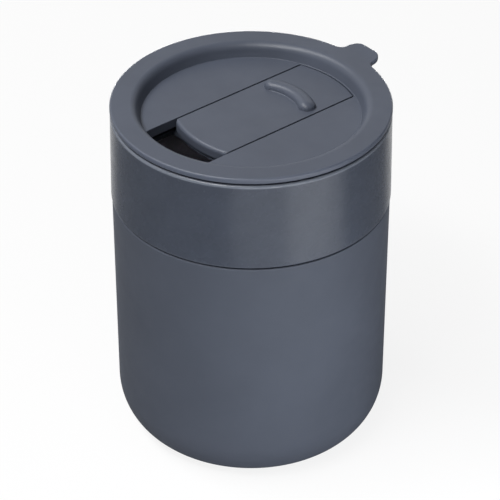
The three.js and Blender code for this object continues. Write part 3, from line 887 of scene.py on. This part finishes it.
# %% [markdown]
# ## The floor and the world
# A white sweep, as in a product photograph. The camera sees it mostly as plain white, so that it reads as
# paper, with a share of real shading that keeps the mug's soft shadow. In the light that it throws back it is
# a calmer grey: a floor as bright as the paper would wash out the mug's edges. In reflections it is greyer
# still, and turns white only behind the mug, so each side of the glaze has a thin bright edge with a dark
# stretch beside it. The world is white to the camera and a dim dome as a light. In reflections it is a pale
# backdrop that stands behind the mug and to its left and fades out towards the camera. So the lid's level
# faces carry a soft sheen, and the walls of its recess, which look the other way, stay dark.

# %% Floor
FLOOR_LEVEL, FLOOR_HALF_WIDTH = -0.0002, 4
PAPER, PAPER_BOUNCE, PAPER_MIRRORED = (0.95, 0.95, 0.95), (0.38, 0.40, 0.44), (0.26, 0.27, 0.29)
PAPER_ROUGH = 0.9
PAPER_SEEN = 0.85
PAPER_GREY, PAPER_WHITE = 0.5, 0.96  # cosine of the angle from straight behind the mug


def seen_share(add, links, direct, mirrored):
    """direct for camera rays, mirrored for glossy and transmission rays, and 0 for rays that light things."""
    path = add("ShaderNodeLightPath")
    other = sums(add, links, path.outputs["Is Glossy Ray"], path.outputs["Is Transmission Ray"], "MAXIMUM")
    other = sums(add, links, other, mirrored, "MULTIPLY")
    return sums(add, links, path.outputs["Is Camera Ray"], direct, "MULTIPLY_ADD", other)


floor_mesh = bpy.data.meshes.new("floor")
floor_corners = FLOOR_HALF_WIDTH * np.array([(-1, -1), (1, -1), (1, 1), (-1, 1)])
floor_mesh.from_pydata(at(floor_corners, FLOOR_LEVEL), [], [(0, 1, 2, 3)])
floor = bpy.data.objects.new("floor", floor_mesh)
bpy.context.scene.collection.objects.link(floor)
floor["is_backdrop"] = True
paper, add, links, shader = new_finish("paper")
path = add("ShaderNodeLightPath")
tone = blend(add, links, path.outputs["Is Camera Ray"], PAPER_BOUNCE, PAPER)
tone = blend(add, links, path.outputs["Is Glossy Ray"], tone, PAPER_MIRRORED)
links.new(tone, shader.inputs["Base Color"])
shader.inputs["Roughness"].default_value = PAPER_ROUGH
shader.inputs["Specular IOR Level"].default_value = 0.0
place = add("ShaderNodeVectorMath", operation="NORMALIZE")
links.new(add("ShaderNodeTexCoord").outputs["Object"], place.inputs[0])
behind = add("ShaderNodeVectorMath", operation="DOT_PRODUCT")
links.new(place.outputs[0], behind.inputs[0])
behind.inputs[1].default_value = -ahead
rise = add("ShaderNodeMapRange", interpolation_type="SMOOTHSTEP")
rise.inputs["From Min"].default_value = PAPER_GREY
rise.inputs["From Max"].default_value = PAPER_WHITE
links.new(behind.outputs["Value"], rise.inputs["Value"])
white, mix = add("ShaderNodeEmission"), add("ShaderNodeMixShader")
links.new(seen_share(add, links, PAPER_SEEN, rise.outputs["Result"]), mix.inputs[0])
links.new(shader.outputs[0], mix.inputs[1])
links.new(white.outputs[0], mix.inputs[2])
output = next(n for n in paper.node_tree.nodes if n.type == "OUTPUT_MATERIAL")
links.new(mix.outputs[0], output.inputs["Surface"])
floor_mesh.materials.append(paper)
print("floor:", PAPER_SEEN, "plain white to the camera")

# %% World
WORLD_LEVEL, WORLD_MIRRORED = 0.07, 0.66
BACKDROP_TURN = math.radians(45)
BACKDROP_NONE, BACKDROP_FULL = -0.45, 0.7  # cosine of the angle from the backdrop's middle

world = bpy.data.worlds.new("studio")
bpy.context.scene.world = world
world.use_nodes = True
add, links = adder(world.node_tree.nodes), world.node_tree.links
dome = next(n for n in world.node_tree.nodes if n.type == "BACKGROUND")
dome.inputs["Color"].default_value = (1, 1, 1, 1)
facing = add("ShaderNodeVectorMath", operation="DOT_PRODUCT")
links.new(add("ShaderNodeTexCoord").outputs["Generated"], facing.inputs[0])
facing.inputs[1].default_value = -math.cos(BACKDROP_TURN) * ahead - math.sin(BACKDROP_TURN) * across
backdrop = add("ShaderNodeMapRange", interpolation_type="SMOOTHSTEP")
backdrop.inputs["From Min"].default_value = BACKDROP_NONE
backdrop.inputs["From Max"].default_value = BACKDROP_FULL
backdrop.inputs["To Max"].default_value = WORLD_MIRRORED - WORLD_LEVEL
links.new(facing.outputs["Value"], backdrop.inputs["Value"])
share = seen_share(add, links, 1 - WORLD_LEVEL, backdrop.outputs["Result"])
links.new(sums(add, links, share, WORLD_LEVEL), dome.inputs["Strength"])
print("world: white to the camera,", WORLD_LEVEL, "as a light")

# %% [markdown]
# ## The lamps
# Soft boxes, placed from the camera's point of view. The key is wide and stands high on the left: it lights
# the lid's top, leaves the recess's left wall in shade and draws the long highlight on the recess's back
# edge. The front box, a little to the left too, lights the recess's back wall and the cup's lip. A low strip
# and two small cool cards close to the mug, on the right, light the body and give the glaze its broad
# highlight. They stand below the rim, so they put no light into the recess. One more low box lights the side
# that the camera can't see.

# %% Lamps
CARD_COLOUR = (0.92, 0.95, 1.0)


def soft_box(name, turn, lift, distance, width, height, power):
    """A lamp turned that many degrees to the camera's right and lifted above the mug's middle, facing it."""
    lamp = bpy.data.lights.new(name, "AREA")
    lamp.shape = "RECTANGLE"
    lamp.size, lamp.size_y = width, height
    lamp.energy = power
    box = bpy.data.objects.new(name, lamp)
    bpy.context.scene.collection.objects.link(box)
    turn, lift = math.radians(turn), math.radians(lift)
    level = math.sin(turn) * across + math.cos(turn) * ahead
    box.location = AIM + distance * (math.cos(lift) * level + Vector((0, 0, math.sin(lift))))
    box.rotation_euler = (AIM - box.location).to_track_quat("-Z", "Y").to_euler()
    box.visible_camera = False
    return box


lamps = [  # turn, lift, distance, width, height and power
    soft_box("key", -72, 62, 1.1, 1.3, 0.28, 9.5),
    soft_box("front", -30, 58, 1.1, 0.7, 0.14, 3.8),
    soft_box("low strip", 20, 2, 0.6, 0.55, 0.03, 1.4),
    soft_box("behind", 180, -1, 0.9, 0.9, 0.08, 5),
]
cards = [
    soft_box("card", 46, -5, 0.13, 0.1, 0.08, 0.03),
    soft_box("wide card", 22, -5, 0.14, 0.2, 0.08, 0.044),
]
for card in cards:
    card.data.color = CARD_COLOUR
print("lamps:", [(lamp.name, lamp.data.energy) for lamp in lamps + cards])

# %% [markdown]
# ## Colours as they are
# The standard view transform shows a colour as it was written, with no film look laid over it.

# %% View transform and sizes
bpy.context.scene.view_settings.view_transform = "Standard"
low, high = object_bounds()
print("visual box in mm:", [round(1000 * side, 1) for side in high - low])
